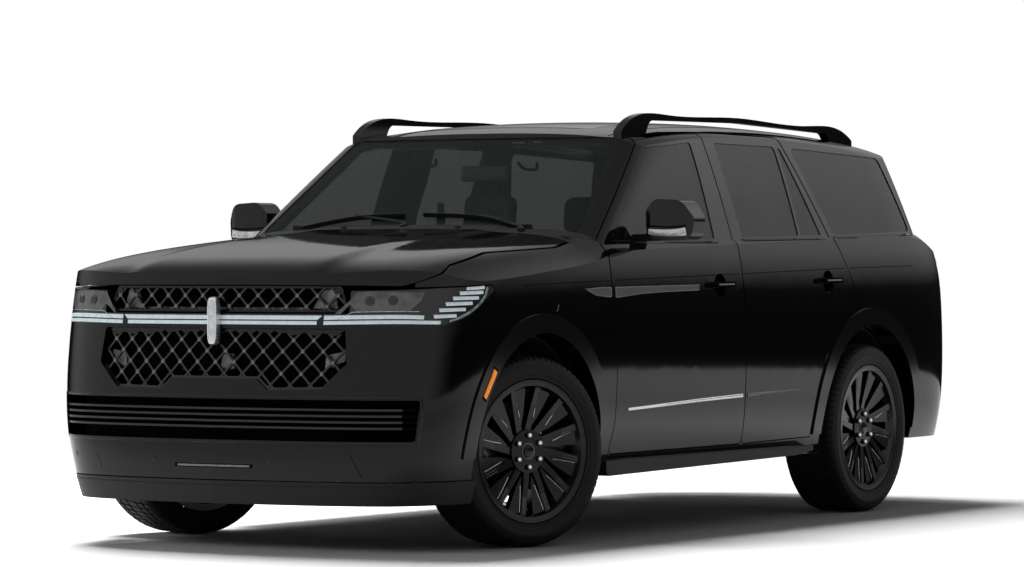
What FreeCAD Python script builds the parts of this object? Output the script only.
# A full-size luxury sport utility vehicle with four doors, a liftgate, a clamshell
# bonnet and steered front wheels, built as separate panels, glass, trim, cabin
# fittings, running gear and wheels.
# Frame: +Z up, -Y forwards, +X towards the vehicle's left side.
# The origin is on the ground, midway between the bumpers and the sides.
# All sizes are in millimetres.

import FreeCAD
import Part
import math
import os

Vec = FreeCAD.Vector

# Main dimensions
wheelbase = 3112.0
front_overhang = 1015.0
rear_overhang = 1207.0
half_width = 1009.0
floor_height = 530.0
sill_height = 362.0
belt_height = 1290.0
belt_rise = 0.0196
shut_gap = 5.0
seat_gap = 0.3
glass_depth = 4.0
glass_thickness = 6.0
door_thickness = 125.0
frame_thickness = 52.0
roof_thickness = 42.0
bonnet_thickness = 26.0

# Wheels and steering
tyre_radius = 406.0
tyre_width = 285.0
rim_radius = 302.0
rim_width = 262.0
hub_face_offset = 92.0
wheel_centre_x = 858.0
kingpin_x = 800.0
steer_at_rest = 17.8
arch_radius = 500.0
well_inner_x = 470.0
lug_circle_radius = 67.5
lug_count = 6
spoke_count = 12
disc_radius = 165.0
disc_thickness = 30.0
stub_radius = 34.0
pin_radius = 14.0
column_radius = 12.0
column_tilt = 25.0
driver_x = 400.0
running_clearance = 0.05
pin_clearance = 0.3
kingpin_y = 10.0
rear_hub_x = 850.0
rear_well_x = 690.0
liner_outer_x = 900.0

# Panels
door_step = 26.0
door_arch_radius = 602.0
side_bottom = 300.0
board_top = 345.0
door_inner_x = 712.0
frame_swing_room = 6.0
moulding_width = 82.0
moulding_depth = 8.0
rail_x = 700.0
handle_front_y = 1575.0
handle_front_z = 1106.0
handle_rear_y = 2655.0
handle_rear_z = 1122.0
handle_cup_radius = 80.0
handle_cup_centre_x = 1059.0
plate_recess_y = 4190.0
plate_centre_z = 965.0
plate_hole_x = 177.8 / 2
plate_hole_z = 120.65 / 2
plate_hole_radius = 3.2
plate_hole_depth = 14.0

front_axle_y = front_overhang - (front_overhang + wheelbase + rear_overhang) / 2
rear_axle_y = front_axle_y + wheelbase
rear_end = wheelbase + rear_overhang
axle_height = tyre_radius


def place(x, y, z):
    """A point from its distance behind the front axle."""
    return Vec(x, front_axle_y + y, z)


def spline_edge(points):
    curve = Part.BSplineCurve()
    curve.interpolate(points)
    return curve.toShape()


def outline_wire(corners, to_point):
    """A closed wire of straight runs joined by arcs; a corner is (u, v, radius)."""
    count = len(corners)
    ends = []
    for i in range(count):
        u, v, radius = corners[i]
        before = corners[i - 1]
        after = corners[(i + 1) % count]
        here = Vec(u, v, 0)
        to_before = Vec(before[0] - u, before[1] - v, 0)
        to_after = Vec(after[0] - u, after[1] - v, 0)
        to_before.normalize()
        to_after.normalize()
        half = to_before.getAngle(to_after) / 2
        if radius <= 0 or abs(half - math.pi / 2) < 1e-3:
            ends.append((here, None, here))
            continue
        reach = radius / math.tan(half)
        middle = to_before + to_after
        middle.normalize()
        centre = here + middle * (radius / math.sin(half))
        ends.append((here + to_before * reach, centre - middle * radius, here + to_after * reach))
    edges = []
    for i in range(count):
        start, middle, end = ends[i]
        if middle is not None:
            points = [to_point(p.x, p.y) for p in (start, middle, end)]
            edges.append(Part.Arc(*points).toShape())
        following = ends[(i + 1) % count][0]
        if (following - end).Length > 1e-4:
            edges.append(Part.LineSegment(to_point(end.x, end.y), to_point(following.x, following.y)).toShape())
    return Part.Wire(edges)


def grown(wire, amount):
    """The same outline, moved outwards by amount, or inwards where it is negative."""
    if abs(amount) < 1e-6:
        return wire
    result = wire.makeOffset2D(amount)
    return result if isinstance(result, Part.Wire) else result.Wires[0]


def prism_x(corners, x_from, x_to, grow=0.0):
    """Corners are (distance behind the front axle, height, radius)."""
    wire = outline_wire(corners, lambda u, v: place(x_from, u, v))
    return Part.Face(grown(wire, grow)).extrude(Vec(x_to - x_from, 0, 0))


def prism_y(corners, y_from, y_to, grow=0.0):
    """Corners are (x, height, radius)."""
    wire = outline_wire(corners, lambda u, v: place(u, y_from, v))
    return Part.Face(grown(wire, grow)).extrude(Vec(0, y_to - y_from, 0))


def prism_z(corners, z_from, z_to, grow=0.0):
    """Corners are (x, distance behind the front axle, radius)."""
    wire = outline_wire(corners, lambda u, v: place(u, v, z_from))
    return Part.Face(grown(wire, grow)).extrude(Vec(0, 0, z_to - z_from))


def block(x_from, x_to, y_from, y_to, z_from, z_to):
    return Part.makeBox(x_to - x_from, y_to - y_from, z_to - z_from, place(x_from, y_from, z_from))


def rod_x(radius, x_from, x_to, y, z):
    return Part.makeCylinder(radius, x_to - x_from, place(x_from, y, z), Vec(1, 0, 0))


def tube_between(start, end, radius):
    run = end - start
    return Part.makeCylinder(radius, run.Length, start, run)


def mirrored(shape):
    return shape.mirror(Vec(0, 0, 0), Vec(1, 0, 0))


def mirrored_corners(corners):
    """The same outline on the other side of the centre plane."""
    return [(-u, v, r) for u, v, r in reversed(corners)]


def both_sides(shape):
    return Part.makeCompound([shape, mirrored(shape)])


def solids_over(shape, volume=1000.0):
    """Keeps the real pieces of a cut and drops the slivers."""
    kept = [s for s in shape.Solids if s.Volume > volume]
    return kept[0] if len(kept) == 1 else Part.makeCompound(kept)


def largest(shape):
    return max(shape.Solids, key=lambda s: s.Volume)


def eased(value, table):
    """Reads a value between the rows of a table of (position, value)."""
    if value <= table[0][0]:
        return table[0][1]
    for (a, va), (b, vb) in zip(table, table[1:]):
        if value <= b:
            return va + (vb - va) * (value - a) / (b - a)
    return table[-1][1]


# Plan shape of the nose, the tail and the windscreen: share of the half width, and how far
# the outline has fallen back from its foremost or rearmost point.
nose_plan = [(0.0, 0), (0.3, 8), (0.6, 46), (0.8, 112), (0.9, 196), (0.955, 300), (0.985, 420), (1.0, 640)]
tail_plan = [(0.0, 0), (0.3, 10), (0.6, 50), (0.8, 115), (0.9, 185), (0.95, 262), (0.98, 365), (1.0, 660)]
screen_plan = [(0.0, 0), (0.3, 6), (0.6, 32), (0.8, 64), (0.9, 94), (0.955, 135), (0.985, 200), (1.0, 420)]
back_plan = [(0.0, 0), (0.3, 5), (0.6, 22), (0.8, 48), (0.9, 72), (0.955, 104), (0.985, 170), (1.0, 360)]

# Height, share of the half width, foremost point and rearmost point of the lower body.
body_levels = [
    (190, 0.915, -992, 4250),
    (300, 0.948, -1008, 4262),
    (420, 0.974, -1015, 4274),
    (560, 0.992, -1015, 4280),
    (750, 1.0, -1004, 4276),
    (950, 1.0, -974, 4266),
    (1100, 0.995, -952, 4256),
    (1200, 0.984, -938, 4240),
    (1310, 0.962, -920, 4213),
    (1460, 0.92, -895, 4158),
]
# Height of the bonnet and shoulder surface along the centre, and its fall to the side.
top_profile = [
    (-1160, 955), (-1060, 1054), (-985, 1122), (-920, 1172), (-820, 1214), (-650, 1252), (-400, 1288),
    (0, 1324), (300, 1344), (480, 1362), (650, 1394), (1000, 1404), (1600, 1416), (2400, 1432),
    (3100, 1447), (3600, 1454), (3800, 1422), (3950, 1350), (4080, 1282), (4200, 1216), (4400, 1096),
]
top_fall = [
    (0, 0), (250, 2), (400, 3), (450, 5), (495, 15), (550, 19), (700, 25), (800, 38), (880, 55), (940, 90),
    (985, 142), (1020, 200), (1070, 290),
]

house_levels = [
    (1210, 0.968, 317, 3945),
    (1300, 0.942, 439, 3920),
    (1450, 0.9, 642, 3878),
    (1600, 0.854, 845, 3836),
    (1760, 0.798, 1062, 3791),
    (1900, 0.742, 1251, 3752),
]
roof_profile = [
    (300, 1560), (700, 1688), (900, 1745), (1100, 1796), (1300, 1832), (1600, 1858), (2000, 1872),
    (2500, 1874), (3000, 1860), (3400, 1838), (3650, 1812), (3800, 1786), (4000, 1740), (4200, 1690),
]
roof_fall = [(0, 0), (250, 4), (450, 13), (600, 26), (700, 42), (760, 60), (800, 85), (830, 120), (870, 185), (960, 360)]


def surface_through(grid):
    """A smooth cubic surface drawn towards a grid of points, and through its corners."""
    knots = []
    ends = []
    for count in (len(grid), len(grid[0])):
        spans = count - 3
        knots.append([float(k) for k in range(spans + 1)])
        ends.append([4] + [1] * (spans - 1) + [4])
    surface = Part.BSplineSurface()
    surface.buildFromPolesMultsKnots(grid, ends[0], ends[1], knots[0], knots[1], False, False, 3, 3)
    return surface.toShape()


def half_plan(width, front, rear, front_plan, rear_plan):
    """The left half of a plan outline, from the nose round the side to the tail."""
    side_from = front + front_plan[-1][1]
    side_to = rear - rear_plan[-1][1]
    points = [(width * s, front + d) for s, d in front_plan]
    points += [(width, side_from + (side_to - side_from) * k / 4) for k in (1, 2, 3)]
    return points + [(width * s, rear - d) for s, d in reversed(rear_plan)]


def plan_solid(levels, front_plan, rear_plan, inset=0.0):
    """The left half of a volume given by plan outlines at several heights."""
    grid = []
    for z, share, front, rear in levels:
        outline = half_plan(share * half_width - inset, front + inset * 1.2, rear - inset, front_plan, rear_plan)
        grid.append([place(x, y, z) for x, y in outline])
    skin = surface_through(grid)
    low = Part.makeLine(grid[0][0], grid[0][-1])
    high = Part.makeLine(grid[-1][0], grid[-1][-1])
    faces = [skin]
    rims = {"low": [], "high": [], "mid": []}
    for edge in skin.Edges:
        box = edge.BoundBox
        if box.XMax < 1:
            rims["mid"].append(edge)
        elif box.ZMax < levels[0][0] + 1:
            rims["low"].append(edge)
        else:
            rims["high"].append(edge)
    for edges in (rims["low"] + [low], rims["high"] + [high], rims["mid"] + [low, high]):
        faces.append(Part.Face(Part.Wire(Part.sortEdges(edges)[0])))
    solid = Part.Solid(Part.Shell(faces))
    solid.fix(0.01, 0.01, 0.01)
    return solid if solid.Volume > 0 else solid.reversed()


def below_surface(profile, fall, bottom):
    """The volume under a crowned surface: its height along the centre less its fall to the side."""
    xs = [-fall[1][0]] + [x for x, _ in fall]
    drops = [fall[1][1]] + [d for _, d in fall]
    skin = surface_through([[place(x, y, z - d) for y, z in profile] for x, d in zip(xs, drops)])
    return skin.extrude(Vec(0, 0, -2500)).common(block(-1, 1200, -1300, 4500, bottom, 2200))


def lower_body():
    return plan_solid(body_levels, nose_plan, tail_plan).common(below_surface(top_profile, top_fall, 150))


def house():
    """The glasshouse, from below the belt to the roof."""
    return plan_solid(house_levels, screen_plan, back_plan).common(below_surface(roof_profile, roof_fall, 1150))


def glass_skin(inset):
    """The surface of the side windows and the screens."""
    return max(plan_solid(house_levels, screen_plan, back_plan, inset).Faces, key=lambda f: f.Area)


def polygon_solid(levels, front_plan, rear_plan, inset):
    """A flat-faced volume inside a plan solid, for hollowing panels out."""
    wires = []
    for z, share, front, rear in levels:
        outline = half_plan(share * half_width - inset, front + inset * 1.2, rear - inset, front_plan, rear_plan)
        inner = [outline[0], outline[2]] + outline[3:-3] + [outline[-3], outline[-1]]
        points = [place(x if x > 1 else -5, y, z) for x, y in inner]
        wires.append(Part.makePolygon(points + [points[0]]))
    return Part.makeLoft(wires, True, True)
# Side-view outlines: distance behind the front axle, height, corner radius.
bonnet_edge = [(-1200, 1122, 0), (-820, 1107, 40), (-699, 1158, 60), (-576, 1197, 120), (-262, 1248, 300), (255, 1272, 300), (400, 1296, 0)]
front_door = [
    (598, 372, 30), (628, 500, 150), (626, 850, 150), (588, 1060, 150), (592, 1288, 30), (612, 1310, 30),
    (1258, 1790, 60), (1766, 1804, 15), (1824, 376, 25),
]
rear_door = [
    (1831, 376, 25), (1775, 1804, 15), (2525, 1797, 60),
    (2768, 1330, 120), (2880, 1165, 200), (3060, 900, 50), (3060, 392, 0),
]
front_window = [(682, 1306, 12), (1226, 1722, 50), (1645, 1756, 18), (1622, 1312, 18)]
rear_window = [(1888, 1322, 18), (1868, 1758, 18), (2466, 1754, 25), (2462, 1332, 18)]
rear_pane = [(2488, 1333, 6), (2490, 1746, 6), (2520, 1746, 6), (2696, 1336, 6)]
# The body's opening is wider behind the rear door's window frame, whose inner edge swings back as it opens.
rear_opening = [(y + frame_swing_room, z, r) if y > 2500 and z > 1300 else (y, z, r) for y, z, r in rear_door]
quarter_window = [(2826, 1340, 18), (2612, 1752, 30), (3560, 1722, 50), (3700, 1362, 25)]
fender_outline = [
    (-270, 730, 0), (-560, 978, 30), (-372, 1092, 8), (-400, 1114, 8), (-830, 1101, 0), (-699, 1152, 60),
    (-576, 1191, 120), (-262, 1242, 300), (255, 1266, 300), (405, 1289, 0), (592, 1299, 6), (581, 1282, 10),
    (581, 1060, 150), (619, 850, 150), (621, 500, 150), (591, 372, 0), (591, 347, 0), (300, 347, 0),
]
bumper_split = [(-1200, 204, 0), (-250, 204, 0), (-254, 716, 0), (-566, 975, 30), (-566, 1200, 0), (-1200, 1200, 0)]
lamp_side = [(-1200, 948, 0), (-695, 948, 60), (-560, 985, 20), (-378, 1092, 8), (-402, 1108, 10), (-690, 1099, 200), (-1200, 1068, 0)]

rear_bumper_zone = [(3300, 340, 0), (3300, 700, 0), (3500, 772, 0), (3752, 809, 20), (3950, 1176, 10), (4500, 1176, 0), (4500, 340, 0)]
tail_lamp_zone = [(3952, 1180, 6), (4500, 1180, 0), (4500, 1420, 0), (3990, 1420, 0), (3925, 1235, 20)]
bumper_outline = [(-1200, 305, 0), (-250, 305, 0), (-275, 728, 0), (-566, 975, 30), (-380, 1092, 8), (-402, 1110, 8), (-1200, 1150, 0)]
lip_outline = [(-1200, 204, 0), (-450, 204, 0), (-450, 300, 0), (-1200, 300, 0)]

# Front-view outlines: across, height, corner radius.
upper_grille = [(-606, 1000, 20), (606, 1000, 20), (566, 1106, 20), (-566, 1106, 20)]
lower_grille = [
    (-606, 932, 16), (606, 932, 16), (624, 785, 16), (518, 683, 20), (266, 679, 12),
    (214, 724, 12), (-214, 724, 12), (-266, 679, 12), (-518, 683, 20), (-624, 785, 16),
]
intake_outline = [(-880, 470, 12), (880, 470, 12), (900, 640, 12), (-900, 640, 12)]
light_bar_outline = [(-500, 948, 0), (500, 948, 0), (500, 992, 0), (-500, 992, 0)]
plate_recess = [(-160, 880, 12), (160, 880, 12), (160, 1050, 12), (-160, 1050, 12)]
screen_outline = [(-838, 1336, 20), (838, 1336, 20), (692, 1770, 40), (-692, 1770, 40)]
back_glass = [(-690, 1352, 30), (690, 1352, 30), (655, 1728, 50), (-655, 1728, 50)]
# One wheel blade seen from outside: distance rearwards, height above the axle, corner radius.
spine_outline = [(-18, 70, 4), (16, 68, 4), (26, 150, 60), (58, 268, 4), (28, 273, 4), (4, 170, 60)]
flare_outline = [(-12, 84, 0), (12, 84, 0), (62, 150, 30), (118, 247, 4), (30, 272, 4), (6, 170, 60)]
# The wheel face, as height above the hub's face and distance from the axle.
spoke_dish = [(-2, 60), (4, 110), (14, 190), (26, 279)]
spoke_depth = 36.0
flare_drop = 9.0
cap_radius = 28.0
grille_plan = [(-606, 58), (0, 0), (606, 58)]
grille_front_y = -984.0
grille_lean_height = 850.0
grille_lean = 8.0
lattice_depth = 12.0
lattice_thickness = 12.0
lattice_rim = 9.0
lattice_pitch = 92.0
lattice_bar = 9.0
lattice_centre_z = 838.0
backing_depth = 66.0
backing_thickness = 8.0
slat_depth = 52.0
slat_height = 9.0
slat_heights = (520, 545, 570, 595)
rear_step = [(-5, 4100, 0), (-5, 4319, 0), (300, 4312, 400), (600, 4270, 200), (735, 4215, 40), (750, 4100, 0)]
gate_half_width = 742.0
gate_bottom = 792.0
roof_half_width = 690.0
roof_end = 3600.0
bonnet_rear = 400.0



# The ceiling, as heights along the centre and falls to the side.
ceiling_profile = [(300, 1500), (900, 1697), (1100, 1748), (1300, 1784), (1600, 1810), (2000, 1824), (2600, 1824),
                   (3000, 1812), (3400, 1790), (3800, 1738), (4200, 1640)]
ceiling_fall = [(-5, 0), (450, 14), (690, 43), (752, 63), (980, 290)]


def ceiling_volume():
    """The space below the roof lining."""
    wires = []
    for y, z in ceiling_profile:
        edge = [place(x, y, z - fall) for x, fall in ceiling_fall]
        points = edge + [place(980, y, 1190), place(-5, y, 1190)]
        wires.append(Part.makePolygon(points + [points[0]]))
    return Part.makeLoft(wires, True, True)


def belt_at(y):
    """The height of the joint between the lower body and the glasshouse."""
    return belt_height + (y - 1000) * belt_rise


def belt_zone(above):
    low = belt_at(-1300), belt_at(4500)
    far = 2100 if above else 100
    return prism_x([(-1300, far, 0), (4500, far, 0), (4500, low[1], 0), (-1300, low[0], 0)], -1200, 1200)


def make_master():
    """The left halves of the outer volumes, of the volumes under the skin and of the hollows."""
    m = {"lower": lower_body(), "house": house()}
    shallow = [(x, d + 4) for x, d in top_fall]
    lowered = [(y, z - bonnet_thickness) for y, z in top_profile]
    m["under_skin"] = polygon_solid(body_levels, nose_plan, tail_plan, 40.0).common(below_surface(lowered, top_fall, 100))
    m["bumper_hollow"] = polygon_solid(body_levels, nose_plan, tail_plan, 80.0)
    m["house_skin"] = polygon_solid([house_levels[0], house_levels[-1]], screen_plan, back_plan, 30.0)
    m["cabin_low"] = prism_x(
        [(475, 100, 0), (4140, 100, 0), (4140, 1190, 0), (3960, 1266, 0), (3790, 1285, 0), (3770, 1370, 0), (475, 1370, 0)], -5, 884)
    upper = polygon_solid([house_levels[0], house_levels[-1]], screen_plan, back_plan, frame_thickness + 14)
    m["cabin_high"] = upper.common(ceiling_volume())
    m["below_belt"] = belt_zone(False)
    m["above_belt"] = belt_zone(True)
    return m


def side_piece(m, zone, rim=None):
    """The side wall within a zone, less the rim where a door's inner frame stops short of its skin."""
    low = m["lower"].common(zone).common(m["below_belt"])
    high = m["house"].common(zone).common(m["above_belt"])
    if rim:
        low = low.cut(m["under_skin"].common(rim))
        high = high.cut(m["house_skin"].common(rim))
    low = low.cut(m["cabin_low"])
    high = high.cut(m["cabin_high"])
    return low.fuse(high)


def add(parts, name, shape):
    parts[name] = shape


def joined(first, *others):
    shape = first
    for other in others:
        shape = shape.fuse(other)
    return shape


def whole(half):
    """A centre piece from its left half."""
    return half.fuse(mirrored(half)).removeSplitter()


def pair(parts, name, left):
    parts[name + "_left"] = left
    parts[name + "_right"] = mirrored(left)


def skin_faces(solid, zone):
    """The outer faces of a volume that lie inside a zone."""
    outer = [f for f in solid.Faces if not isinstance(f.Surface, Part.Plane)]
    return Part.makeCompound(outer).common(zone)


def thickened(patch, run):
    solids = [face.extrude(run) for face in patch.Faces]
    return joined(*solids) if len(solids) > 1 else solids[0]


def arch_cutter(y, radius=arch_radius):
    return rod_x(radius, 470, 1300, y, axle_height)


# Doors, sides and roof


def build_doors(parts, m):
    front_zone = prism_x(front_door, door_inner_x, 1100)
    front_rim = front_zone.cut(prism_x(front_door, door_inner_x, 1100, -door_step))
    panel = side_piece(m, front_zone, front_rim)
    panel = panel.cut(prism_x(front_window, 500, 1100))
    panel = with_handle(panel, handle_front_y, handle_front_z)
    rear_zone = prism_x(rear_door, door_inner_x, 1100).cut(arch_cutter(wheelbase, door_arch_radius))
    rear_core = prism_x(rear_door, door_inner_x, 1100, -door_step)
    rear_core = rear_core.cut(arch_cutter(wheelbase, door_arch_radius + door_step))
    rear_rim = rear_zone.cut(rear_core)
    rear_panel = side_piece(m, rear_zone, rear_rim)
    for window in (rear_window, rear_pane):
        rear_panel = rear_panel.cut(prism_x(window, 500, 1100))
    rear_panel = with_handle(rear_panel, handle_rear_y, handle_rear_z)
    pair(parts, "front_door", panel)
    pair(parts, "rear_door", rear_panel)
    glass = glass_skin(glass_depth)
    pair(parts, "front_door_glass", thickened(glass.common(prism_x(front_window, 500, 1100)), Vec(-glass_thickness, 0, 0)))
    panes = [glass.common(prism_x(w, 500, 1100)).Faces[0].extrude(Vec(-glass_thickness, 0, 0)) for w in (rear_window, rear_pane)]
    pair(parts, "rear_door_glass", Part.makeCompound(panes))
    pair(parts, "mirror", largest(mirror_shape(panel).cut(parts["front_door_glass_left"])))


def with_handle(panel, y, z):
    """Presses a cup for the fingers into a door and adds a bow handle on two feet over it."""
    cup = Part.makeSphere(handle_cup_radius, place(handle_cup_centre_x, y, z))
    bow = prism_x([(y - 90, z - 15, 12), (y + 90, z - 13, 12), (y + 90, z + 13, 12), (y - 90, z + 13, 12)], 990, 1036)
    finger_gap = prism_x([(y - 62, z - 60, 0), (y + 62, z - 60, 0), (y + 62, z + 60, 0), (y - 62, z + 60, 0)], 980, 1018)
    return panel.cut(cup).fuse(bow.cut(finger_gap))


def mirror_shape(door):
    """A rounded housing on a short arm that springs from the belt of the front door."""
    outline = [(1012, 1322, 40), (1040, 1300, 30), (1225, 1306, 40), (1236, 1400, 45), (1190, 1478, 60), (1050, 1486, 60), (1008, 1430, 40)]
    housing = prism_y(outline, 868, 1004)
    sweep = prism_z([(980, 1010, 0), (1260, 1010, 0), (1260, 925, 40), (1200, 872, 60), (1060, 862, 60), (980, 880, 0)], 1200, 1600)
    arm = prism_y([(900, 1294, 6), (1060, 1302, 6), (1060, 1345, 10), (985, 1330, 10), (900, 1330, 6)], 890, 985)
    return housing.common(sweep).fuse(arm).cut(door)


def build_sides(parts, m):
    zone = block(roof_half_width, 1100, 430, 4400, side_bottom, 1900)
    zone = zone.cut(prism_x(front_door, door_inner_x, 1100, shut_gap))
    opening = prism_x(rear_opening, door_inner_x, 1100, shut_gap).cut(arch_cutter(wheelbase, door_arch_radius - shut_gap))
    zone = zone.cut(opening)
    zone = zone.cut(prism_x(fender_outline + [], 900, 1100, seat_gap)).cut(arch_cutter(wheelbase))
    zone = zone.cut(prism_x(rear_bumper_zone, 500, 1100, seat_gap)).cut(prism_x(tail_lamp_zone, 500, 1100, seat_gap))
    zone = zone.cut(block(-1200, gate_half_width + shut_gap, roof_end - shut_gap, 4400, 300, 1900))
    zone = zone.cut(prism_x(quarter_window, 500, 1100)).cut(prism_y(screen_outline, 200, 1300))
    below_pillar = [(400, 250, 0), (593, 250, 0), (593, belt_at(593), 0), (400, belt_at(400), 0)]
    zone = zone.cut(prism_x(below_pillar, 600, 1100)).cut(block(930, 1100, 400, 2620, 250, board_top))
    shell = largest(side_piece(m, zone))
    post = block(832, 926, 472, 574, side_bottom, 1306).cut(block(800, 1000, 400, 600, 1255, 1400).cut(m["lower"]))
    pillar = prism_y(
        [(866, 380, 0), (866, 1270, 0), (830, 1440, 0), (770, 1600, 0), (706, 1752, 0), (706, 1802, 0),
         (691, 1802, 0), (691, 1752, 0), (732, 1600, 0), (790, 1440, 0), (826, 1270, 0), (826, 380, 0)], 1764, 1834)
    sill = block(820, 930, 472, 2500, side_bottom, 366).fuse(block(820, 878, 472, 2500, side_bottom, floor_height))
    left = joined(shell, pillar, sill, post.cut(arch_cutter(0, arch_radius - 6)))
    parts["body_sides"] = both_sides(left)
    glass = glass_skin(glass_depth)
    quarter = thickened(glass.common(prism_x(quarter_window, 500, 1100)), Vec(-glass_thickness, 0, 0))
    screen = glass.common(prism_y(screen_outline, 200, 1400))
    half_screen = thickened(screen, Vec(0, glass_thickness + 3, 0))
    parts["fixed_glass"] = Part.makeCompound([quarter, mirrored(quarter), whole(half_screen)])


def build_roof(parts, m):
    zone = block(-5, roof_half_width, 900, roof_end - shut_gap, 1700, 2000).cut(prism_y(screen_outline, 200, 1400))
    half = m["house"].common(zone).cut(m["cabin_high"])
    parts["roof_panel"] = whole(half)
    rail_path = [(1160, 1797), (1240, 1848), (1600, 1880), (2270, 1886), (2975, 1868), (3370, 1846), (3457, 1808)]
    top = [place(rail_x, y, z) for y, z in rail_path]
    curve = Part.BSplineCurve()
    curve.interpolate(top)
    bar = prism_x([(1150, 1700, 0), (3465, 1700, 0), (3465, 1990, 0), (1150, 1990, 0)], rail_x - 21, rail_x + 21)
    ribbon = Part.Face(Part.Wire([curve.toShape(), Part.makePolygon([top[-1], top[-1] - Vec(0, 0, 200), top[0] - Vec(0, 0, 200), top[0]])]
        if False else [curve.toShape()] + Part.makePolygon([top[-1], top[-1] - Vec(0, 0, 200), top[0] - Vec(0, 0, 200), top[0]]).Edges))
    ribbon.translate(Vec(-21, 0, 0))
    rail = ribbon.extrude(Vec(42, 0, 0)).common(bar)
    gap = prism_x([(1330, 1700, 0), (1420, 1852, 60), (2270, 1862, 0), (3180, 1838, 60), (3300, 1700, 0)], rail_x - 60, rail_x + 60)
    rail = rail.cut(gap).cut(m["house"])
    parts["roof_rails"] = both_sides(solids_over(rail, 5000))


# Front panels


def lamp_zone():
    """A headlamp: a wedge round the corner and an arm that meets the light bar."""
    return prism_x(lamp_side, 618, 1100).fuse(block(504, 640, -1300, -600, 948, 992))


def grille_band(depth, thickness):
    """A curved, leaning sheet that stands a set depth behind the nose."""
    edges = []
    for back in (depth, depth + thickness):
        points = [place(x, grille_front_y + fall + back, 600) for x, fall in grille_plan]
        edges.append(Part.Arc(*points).toShape())
    ends = [Part.makeLine(edges[0].Vertexes[k].Point, edges[1].Vertexes[k].Point) for k in (0, 1)]
    sheet = Part.Face(Part.Wire(Part.sortEdges(edges + ends)[0])).extrude(Vec(0, 0, 600))
    sheet.rotate(place(0, grille_front_y, grille_lean_height), Vec(1, 0, 0), -grille_lean)
    return sheet


def lattice(outline):
    """A diamond mesh within a rim, cut from one curved sheet."""
    rim = Part.Face(outline_wire(outline, lambda u, v: place(u, -1100, v)))
    inner = Part.Face(grown(outline_wire(outline, lambda u, v: place(u, -1100, v)), -lattice_rim))
    half = lattice_pitch / 2
    reach = half - lattice_bar * 0.7
    cells = []
    for row in range(-6, 7):
        for column in range(-8, 9):
            x = column * lattice_pitch + (half if row % 2 else 0)
            z = lattice_centre_z + row * half
            corners = [(x - reach, z, 0), (x, z - reach, 0), (x + reach, z, 0), (x, z + reach, 0)]
            cells.append(Part.Face(outline_wire(corners, lambda u, v: place(u, -1100, v))))
    mesh = rim.cut(Part.makeCompound(cells).common(inner))
    cutter = mesh.extrude(Vec(0, 400, 0))
    return largest(cutter.common(grille_band(lattice_depth, lattice_thickness)))


def intake_slats(m):
    """The intake's dark back and the slats that run across it."""
    zone = prism_y(intake_outline, -1300, -600)
    inner = plan_solid(body_levels, nose_plan, tail_plan, slat_depth)
    back = m["lower"].common(zone).common(inner).cut(m["bumper_hollow"])
    bars = Part.makeCompound([block(-5, 1200, -1300, -600, z, z + slat_height) for z in slat_heights])
    slats = m["lower"].common(bars.common(zone)).cut(m["bumper_hollow"])
    return whole(back.fuse(slats))


def build_front(parts, m):
    side_zone = prism_x(fender_outline, 860, 1100).cut(arch_cutter(0)).cut(block(800, 900, 400, 700, 1000, 1500))
    fender = m["lower"].common(side_zone).cut(m["under_skin"]).cut(parts["body_sides"])
    parts["front_fenders"] = both_sides(solids_over(fender, 50000))

    above = bonnet_edge + [(400, 1500, 0), (-1200, 1500, 0)]
    bonnet = m["lower"].common(prism_x(above, -5, 1100)).cut(m["under_skin"])
    parts["bonnet"] = whole(solids_over(bonnet, 50000))

    cowl = m["lower"].common(block(-5, 905, bonnet_rear + shut_gap, 620, 1270, 1500)).cut(m["under_skin"])
    cowl = cowl.cut(m["house"]).cut(block(900, 1100, 300, 700, 1000, 1500))
    firewall = block(-5, 860, 440, 472, 500, 1330).cut(prism_x([(300, 1500, 0), (600, 1500, 0), (600, 1318, 0), (300, 1318, 0)], -10, 900))
    cowl = cowl.fuse(firewall.cut(arch_cutter(0, arch_radius - 6)))
    parts["cowl"] = whole(largest(cowl.cut(parts["body_sides"])))

    bumper_zone = prism_x(bumper_outline, -5, 1100).cut(arch_cutter(0)).cut(lamp_zone())
    bumper = m["lower"].common(bumper_zone).cut(m["bumper_hollow"])
    bumper = bumper.cut(block(-5, 505, -1300, -600, 948, 992))
    for opening in (upper_grille, lower_grille, intake_outline):
        bumper = bumper.cut(prism_y(opening, -1300, -600))
    bonnet_clear = prism_x([(u, v - shut_gap, r) for u, v, r in bonnet_edge] + [(400, 1500, 0), (-1200, 1500, 0)], -5, 1100)
    bumper = bumper.cut(bonnet_clear)
    parts["front_bumper"] = whole(largest(bumper))
    lip = m["lower"].common(prism_x(lip_outline, -5, 1100)).cut(m["bumper_hollow"])
    parts["front_lip"] = whole(largest(lip))

    grilles = [lattice(upper_grille).cut(bonnet_clear), lattice(lower_grille)]
    for opening in (upper_grille, lower_grille):
        backing = grille_band(backing_depth, backing_thickness).common(prism_y(opening, -1300, -600))
        grilles.append(largest(backing.cut(bonnet_clear)))
    grilles.append(intake_slats(m))
    parts["grilles"] = Part.makeCompound(grilles)

    bar = m["lower"].common(prism_y(light_bar_outline, -1300, -600)).cut(m["bumper_hollow"])
    lamp = m["lower"].common(lamp_zone()).cut(m["bumper_hollow"])
    parts["headlamps"] = Part.makeCompound([whole(largest(bar)), largest(lamp), mirrored(largest(lamp))])


# Rear panels


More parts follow.
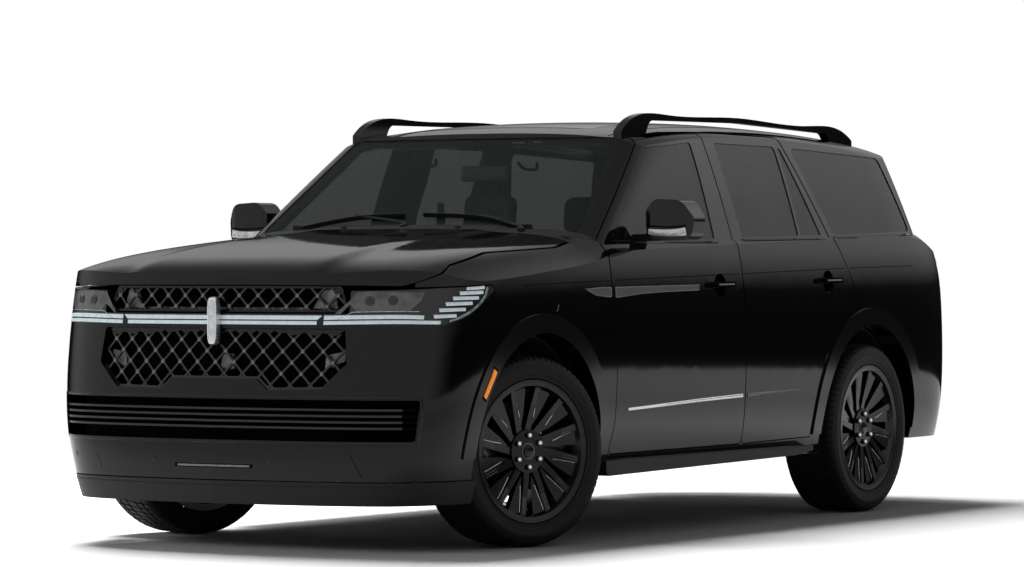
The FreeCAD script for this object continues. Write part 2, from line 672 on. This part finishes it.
def build_rear(parts, m):
    gate_zone = block(-5, gate_half_width, roof_end, 4400, gate_bottom, 1950).cut(prism_y(plate_recess, plate_recess_y, 4500))
    low = m["lower"].common(gate_zone).common(m["below_belt"]).cut(m["cabin_low"])
    high = m["house"].common(gate_zone).common(m["above_belt"]).cut(m["cabin_high"])
    gate = low.fuse(high).cut(prism_y(back_glass, 3400, 4300))
    holes = [
        Part.makeCylinder(plate_hole_radius, plate_hole_depth, place(x, plate_recess_y - plate_hole_depth, plate_centre_z + z), Vec(0, 1, 0))
        for x in (-plate_hole_x, plate_hole_x) for z in (-plate_hole_z, plate_hole_z)]
    parts["liftgate"] = whole(largest(gate)).cut(Part.makeCompound(holes))
    glass = glass_skin(glass_depth)
    pane = glass.common(prism_y(back_glass, 3400, 4300))
    parts["liftgate_glass"] = whole(thickened(pane, Vec(0, -glass_thickness - 2, 0)))
    bumper = m["lower"].common(prism_x(rear_bumper_zone, -5, 1100)).cut(arch_cutter(wheelbase))
    bumper = bumper.cut(m["bumper_hollow"]).cut(block(-5, gate_half_width + shut_gap, 3400, 4500, gate_bottom - shut_gap, 1400))
    step = prism_z(rear_step, 600, 690).cut(m["bumper_hollow"])
    parts["rear_bumper"] = whole(largest(bumper.fuse(step)))
    lamp = m["lower"].common(prism_x(tail_lamp_zone, gate_half_width + shut_gap, 1100)).cut(m["bumper_hollow"])
    parts["tail_lamps"] = both_sides(largest(lamp))


# Fittings outside


def build_trim(parts, m):
    rings = []
    for y in (0, wheelbase):
        ring = arch_cutter(y, arch_radius + moulding_width).cut(arch_cutter(y)).common(block(700, 1300, -700, 3700, 392, 1100))
        patch = skin_faces(m["lower"], ring)
        rings.append(thickened(patch, Vec(moulding_depth, 0, 0)))
    left = Part.makeCompound(rings)
    parts["arch_mouldings"] = both_sides(left)
    board = prism_x([(512, 278, 30), (2300, 304, 30), (2470, 322, 10), (2470, board_top, 0), (512, board_top, 0)], 930, 1016)
    parts["running_boards"] = both_sides(board)
    liners = []
    for y, inner_x in ((0, well_inner_x), (wheelbase, rear_well_x)):
        ring = rod_x(arch_radius - 6, inner_x, liner_outer_x, y, axle_height).cut(rod_x(arch_radius - 12, inner_x + 6, 1100, y, axle_height))
        liners.append(ring.common(block(400, 1100, y - 600, y + 600, 470, 1000)))
    liners[0] = liners[0].cut(block(465, 480, kingpin_y - 45, kingpin_y + 45, 560, 616)).cut(parts["body_sides"])
    parts["arch_liners"] = both_sides(Part.makeCompound(liners))


# Under the body


def build_chassis(parts):
    rail = prism_z([(400, -960, 0), (455, -960, 0), (455, 500, 30), (560, 700, 30), (560, 2480, 30), (500, 2690, 30),
                    (500, 4190, 0), (420, 4190, 0), (420, 2740, 30), (480, 2500, 30), (480, 690, 30), (400, 505, 30)], 420, 500)
    rail = rail.cut(block(400, 520, wheelbase - 50, wheelbase + 50, 400, 446))
    bumpers = parts["front_bumper"].fuse(parts["rear_bumper"])
    wells = arch_cutter(0, arch_radius - 6)
    cross = [block(-5, 420, y - 40, y + 40, 440, 490) for y in (-840, -420, 3500, 4120)]
    low_cross = [block(-5, 540, y - 40, y + 40, 385, 420) for y in (1500, 2440)]
    parts["chassis_frame"] = largest(whole(joined(rail, *cross, *low_cross)).cut(bumpers).cut(parts["grilles"]))
    floor = joined(block(-5, 820, 472, 2600, 500, floor_height), block(-5, rear_well_x, 2590, 4125, 500, floor_height))
    parts["floor_pan"] = whole(largest(floor.cut(wells).cut(parts["rear_bumper"])))
    parts["engine"] = block(-270, 270, -560, 130, 490, 1120)
    case = Part.makeCylinder(118, 300, place(0, 130, 505), Vec(0, 1, 0))
    shaft = tube_between(place(0, 420, 455), place(0, wheelbase - 20, 455), 32)
    parts["driveline"] = joined(case, shaft, Part.makeSphere(92, place(0, wheelbase, axle_height)))
    pipe = tube_between(place(-250, 160, 350), place(-250, 4100, 350), 26)
    muffler = block(-380, -150, 3560, 3960, 310, 396)
    saddles = [block(-270, -230, y - 30, y + 30, 360, 385) for y in (1500, 2440)]
    hanger = block(-280, -220, 3470, 3530, 350, 440)
    parts["exhaust"] = joined(pipe, muffler, hanger, *saddles)
    parts["fuel_tank"] = prism_z([(90, 1560, 40), (460, 1560, 40), (460, 2380, 40), (90, 2380, 40)], 262, 385)


def build_suspension(parts):
    eye = Part.makeCylinder(pin_radius + pin_clearance, 500, place(kingpin_x, kingpin_y, 150), Vec(0, 0, 1))
    upper = joined(block(420, 822, kingpin_y - 28, kingpin_y + 28, 576, 600), block(405, 455, kingpin_y - 60, kingpin_y + 60, 500, 600))
    lower = prism_y([(822, 212, 0), (822, 236, 0), (770, 236, 0), (470, 440, 0), (455, 440, 0), (455, 412, 0), (750, 212, 0)],
                    kingpin_y - 40, kingpin_y + 40)
    carrier = block(770, 825, wheelbase - 60, wheelbase + 60, 290, 520)
    half_shaft = joined(rod_x(28, 85, 800, wheelbase, axle_height), rod_x(stub_radius, 820, rear_hub_x + 70, wheelbase, axle_height))
    arm = prism_z([(770, 3065, 0), (770, 3115, 0), (650, 3110, 0), (520, 2810, 0), (500, 2810, 0), (500, 2715, 0), (545, 2715, 0), (665, 3040, 0)], 436, 470)
    rear = joined(carrier, half_shaft, arm).cut(parts["driveline"])
    left = Part.makeCompound([upper.cut(eye), lower.cut(eye), rear])
    parts["suspension"] = both_sides(left)
    knuckle = joined(
        block(775, 825, kingpin_y - 36, kingpin_y + 36, 250, 570),
        rod_x(stub_radius, 820, wheel_centre_x + 62, kingpin_y, axle_height),
        Part.makeCylinder(pin_radius, 398, place(kingpin_x, kingpin_y, 206), Vec(0, 0, 1)))
    for side, name in ((1, "left"), (-1, "right")):
        shape = knuckle.copy() if side > 0 else mirrored(knuckle)
        shape.rotate(Vec(side * kingpin_x, front_axle_y + kingpin_y, 0), Vec(0, 0, 1), -steer_at_rest)
        parts["knuckle_" + name] = shape


def build_cabin(parts):
    dash = prism_x([(472, 820, 0), (780, 820, 40), (900, 900, 40), (905, 1040, 30), (860, 1180, 60), (740, 1240, 60), (472, 1262, 0)], -815, 815)
    console = prism_x([(700, floor_height, 0), (1560, floor_height, 0), (1560, 760, 40), (1100, 800, 60), (860, 870, 20), (700, 870, 0)], -110, 110)
    column = tube_between(wheel_point(-180), wheel_point(-70), 36)
    bore = tube_between(wheel_point(-140), wheel_point(0), column_radius + running_clearance)
    parts["dashboard"] = joined(dash, console, column).cut(bore)
    ring = Part.makeTorus(185, 15)
    hub = Part.makeCylinder(56, 36, Vec(0, 0, -22), Vec(0, 0, 1))
    bars = [Part.makeBox(140, 30, 12, Vec(40, -15, -10)), Part.makeBox(140, 30, 12, Vec(-180, -15, -10)), Part.makeBox(30, 140, 12, Vec(-15, 40, -10))]
    shaft = Part.makeCylinder(column_radius, 110, Vec(0, 0, -130), Vec(0, 0, 1))
    wheel = joined(hub, ring, shaft, *bars)
    wheel.rotate(Vec(0, 0, 0), Vec(1, 0, 0), column_tilt - 90)
    wheel.translate(wheel_point(0))
    parts["steering_wheel"] = wheel
    seats = []
    for row in (0, 940):
        seats.append(seat(row, 150, 650))
    third = seat(1790, -5, 560)
    parts["seats"] = Part.makeCompound([s for one in seats for s in (one, mirrored(one))] + [whole(third)])


def wheel_point(along):
    """A point on the steering column's axis, measured from the steering wheel towards the driver."""
    tilt = math.radians(column_tilt)
    return place(driver_x, 1010 + along * math.cos(tilt), 1020 + along * math.sin(tilt))


def seat(back, x_from, x_to):
    """A cushion, a back and a headrest; back is how far behind the front row the seat stands."""
    profile = [(1200, 600, 40), (1190, 720, 60), (1260, 775, 50), (1650, 745, 30), (1790, 1290, 40), (1880, 1320, 40), (1905, 1270, 40), (1790, 700, 60), (1740, 600, 40)]
    body = prism_x([(y + back, z, r) for y, z, r in profile], x_from, x_to)
    base = block(x_from + (60 if x_from > 0 else 0), x_to - 60, 1260 + back, 1700 + back, floor_height, 640)
    middle = (max(x_from, 0) + x_to) / 2
    head = prism_x([(1840 + back, 1360, 30), (1800 + back, 1540, 30), (1880 + back, 1560, 30), (1925 + back, 1370, 30)], middle - 130, middle + 130)
    stems = [Part.makeCylinder(8, 130, place(middle + dx, 1858 + back, 1270), Vec(0, 0, 1)) for dx in (-60, 60)]
    return joined(body, base, head, *stems)


def build_wheels(parts):
    wheel = wheel_shape()
    tyre = tyre_shape()
    for name, shape in (("rim", wheel), ("tyre", tyre)):
        left = shape.copy()
        left.translate(Vec(wheel_centre_x, rear_axle_y, axle_height))
        parts[name + "_rear_left"] = left
        parts[name + "_rear_right"] = mirrored(left)
        for side in (1, -1):
            front = shape.copy() if side > 0 else mirrored(shape)
            front.translate(Vec(side * wheel_centre_x, front_axle_y + kingpin_y, axle_height))
            pivot = Vec(side * kingpin_x, front_axle_y + kingpin_y, 0)
            front.rotate(pivot, Vec(0, 0, 1), -steer_at_rest)
            parts[name + "_front_" + ("left" if side > 0 else "right")] = front


def revolved(points):
    """Turns an outline of (x, radius) about the wheel's axle."""
    wire = Part.makePolygon([Vec(x, 0, r) for x, r in points + points[:1]])
    return Part.Face(wire).revolve(Vec(0, 0, 0), Vec(1, 0, 0), 360)


def tyre_shape():
    half = tyre_width / 2
    bead = rim_radius - 14.0
    seat = rim_width / 2 - 12.5
    outline = [(-seat, bead), (-seat, rim_radius + 1), (-half + 4, rim_radius + 16), (-half, (bead + tyre_radius) / 2 + 8), (-half + 6, tyre_radius - 26),
               (-half + 24, tyre_radius - 7), (-half + 60, tyre_radius), (half - 60, tyre_radius), (half - 24, tyre_radius - 7),
               (half - 6, tyre_radius - 26), (half, (bead + tyre_radius) / 2 + 8), (half - 4, rim_radius + 16), (seat, rim_radius + 1), (seat, bead)]
    return revolved(outline)


def wheel_shape():
    half = rim_width / 2
    bead = rim_radius - 14.0
    barrel = revolved([(-half, rim_radius), (-half, bead - 16), (-half + 30, bead - 30), (half - 40, bead - 30), (half - 4, bead - 10),
                       (half, rim_radius), (half - 10, rim_radius), (half - 12, bead), (-half + 12, bead), (-half + 10, rim_radius)])
    hub = Part.makeCylinder(92, 60, Vec(hub_face_offset - 52, 0, 0), Vec(1, 0, 0))
    spokes = spoke_ring(spine_outline, 0.0).fuse(spoke_ring(flare_outline, flare_drop))
    lugs = []
    for i in range(lug_count):
        angle = math.radians(i * 360.0 / lug_count)
        lugs.append(Part.makeCylinder(12, 14, Vec(hub_face_offset + 2, lug_circle_radius * math.sin(angle), lug_circle_radius * math.cos(angle)), Vec(1, 0, 0)))
    disc = Part.makeCylinder(disc_radius, disc_thickness, Vec(-20, 0, 0), Vec(1, 0, 0))
    neck = Part.makeCylinder(75, 70, Vec(-20, 0, 0), Vec(1, 0, 0))
    cap = Part.makeCylinder(cap_radius, 6, Vec(hub_face_offset + 8, 0, 0), Vec(1, 0, 0))
    wheel = joined(barrel, hub, neck, disc, spokes, cap, *lugs)
    bore = Part.makeCylinder(stub_radius + running_clearance, 100, Vec(-21, 0, 0), Vec(1, 0, 0))
    return wheel.cut(bore)


def spoke_ring(outline, drop):
    """All the blades of one outline, dished from the rim's lip down to the hub."""
    face = [(hub_face_offset + x - drop, r) for x, r in spoke_dish]
    back = [(hub_face_offset + x - spoke_depth, r) for x, r in reversed(spoke_dish)]
    dish = revolved(face + back)
    wire = outline_wire(outline, lambda u, v: Vec(20, u, v))
    blade = Part.Face(wire).extrude(Vec(120, 0, 0)).common(dish)
    blades = []
    for i in range(spoke_count):
        turned = blade.copy()
        turned.rotate(Vec(0, 0, 0), Vec(1, 0, 0), i * 360.0 / spoke_count)
        blades.append(turned)
    return joined(*blades)


def main():
    os.makedirs("parts", exist_ok=True)
    parts = {}
    m = make_master()
    build_sides(parts, m)
    build_doors(parts, m)
    build_roof(parts, m)
    build_front(parts, m)
    build_rear(parts, m)
    build_trim(parts, m)
    build_chassis(parts)
    build_suspension(parts)
    build_cabin(parts)
    build_wheels(parts)
    for name, shape in parts.items():
        print(name, shape.isValid(), len(shape.Solids), round(shape.Volume / 1e6, 2))
        shape.exportStep("parts/" + name + ".step")


main()
